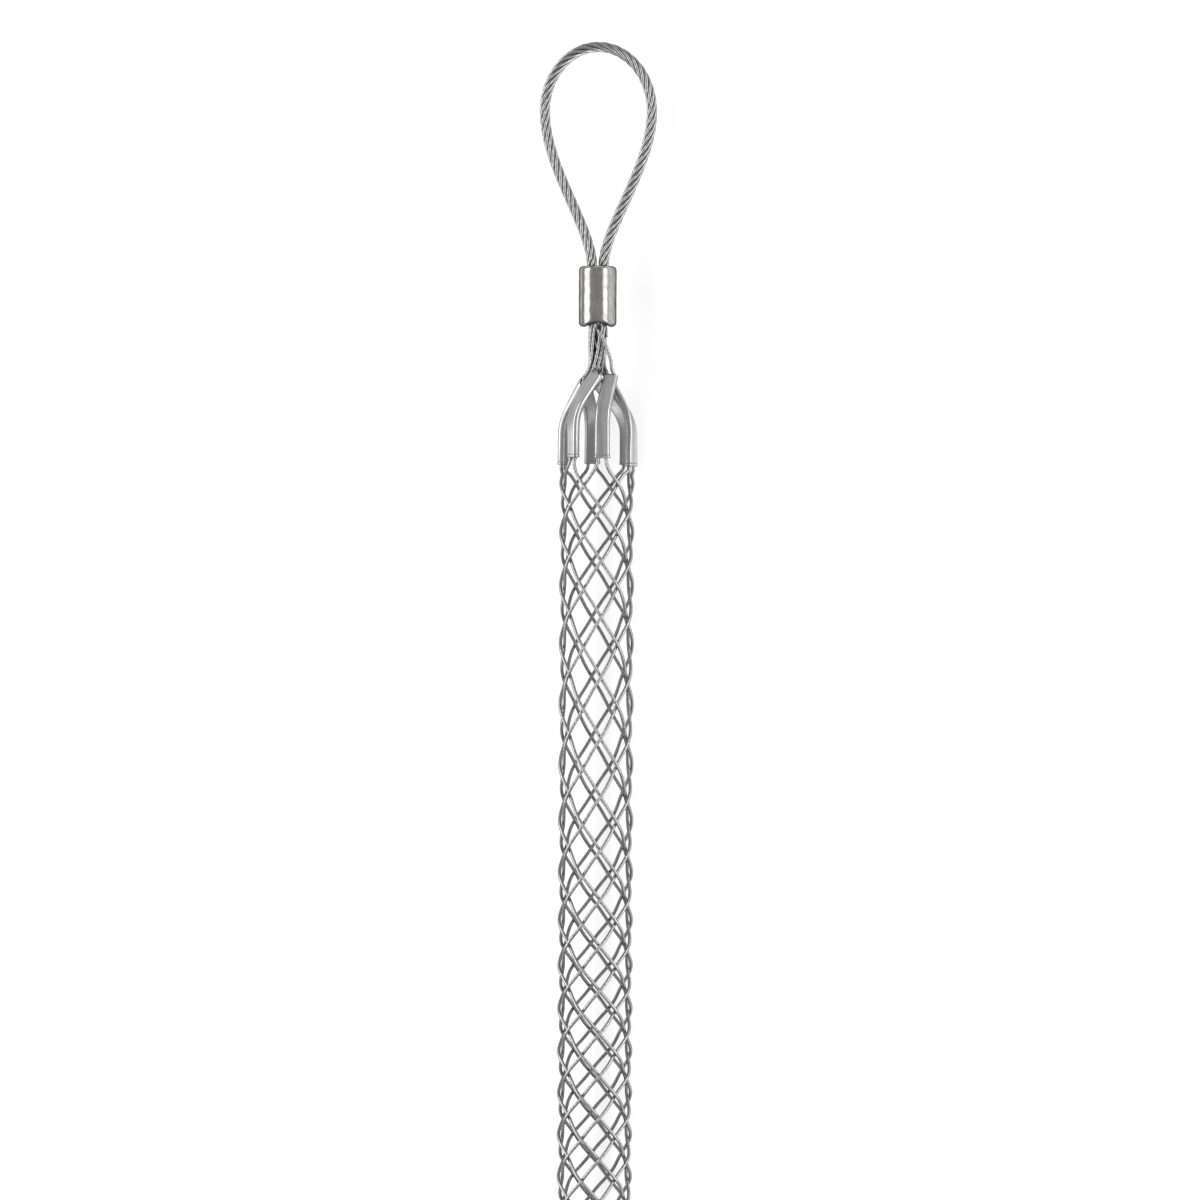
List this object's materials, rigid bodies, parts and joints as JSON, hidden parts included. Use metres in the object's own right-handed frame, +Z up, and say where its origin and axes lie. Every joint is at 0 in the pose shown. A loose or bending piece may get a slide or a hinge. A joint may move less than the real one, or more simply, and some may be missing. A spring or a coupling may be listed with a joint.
{
  "type": "cable pulling grip",
  "caption": "Wire rope eye swaged in a ferrule and unlaid into paired strands, which run through flattened tubes into an open woven wire mesh that tightens on a pulled cable.",
  "frame": {"origin": "middle of the underside of the grip's box, on the surface it lies on", "axes": "+Y along the grip from the tail of the mesh to the crown of the eye, +Z up from the surface, +X to the right of a viewer who looks down with the eye away from them"},
  "size_m": [0.0412, 0.4612, 0.0296],
  "materials": {
    "strand_wire": "galvanised steel wire strand, drawn wires laid in a fine twist, light grey with soft highlights",
    "core_wire": "galvanised steel core strand, darker where it was cut",
    "ferrule_metal": "bright plated steel, swaged smooth with faint die marks, glossy, a slightly warm grey",
    "tube_metal": "zinc-plated steel tube pressed flat, satin faces and bright rounded sides"
  },
  "bodies": {
    "root": {"strand_1": "strand_wire", "strand_2": "strand_wire", "strand_3": "strand_wire", "strand_4": "strand_wire", "strand_5": "strand_wire", "strand_6": "strand_wire", "rope_core": "core_wire", "swage_ferrule": "ferrule_metal", "equalizer_tube_1": "tube_metal", "equalizer_tube_2": "tube_metal", "equalizer_tube_3": "tube_metal", "equalizer_tube_4": "tube_metal", "equalizer_tube_5": "tube_metal", "equalizer_tube_6": "tube_metal", "tail_sleeve_1": "tube_metal", "tail_sleeve_2": "tube_metal", "tail_sleeve_3": "tube_metal", "tail_sleeve_4": "tube_metal", "tail_sleeve_5": "tube_metal", "tail_sleeve_6": "tube_metal"}
  },
  "joints": []
}
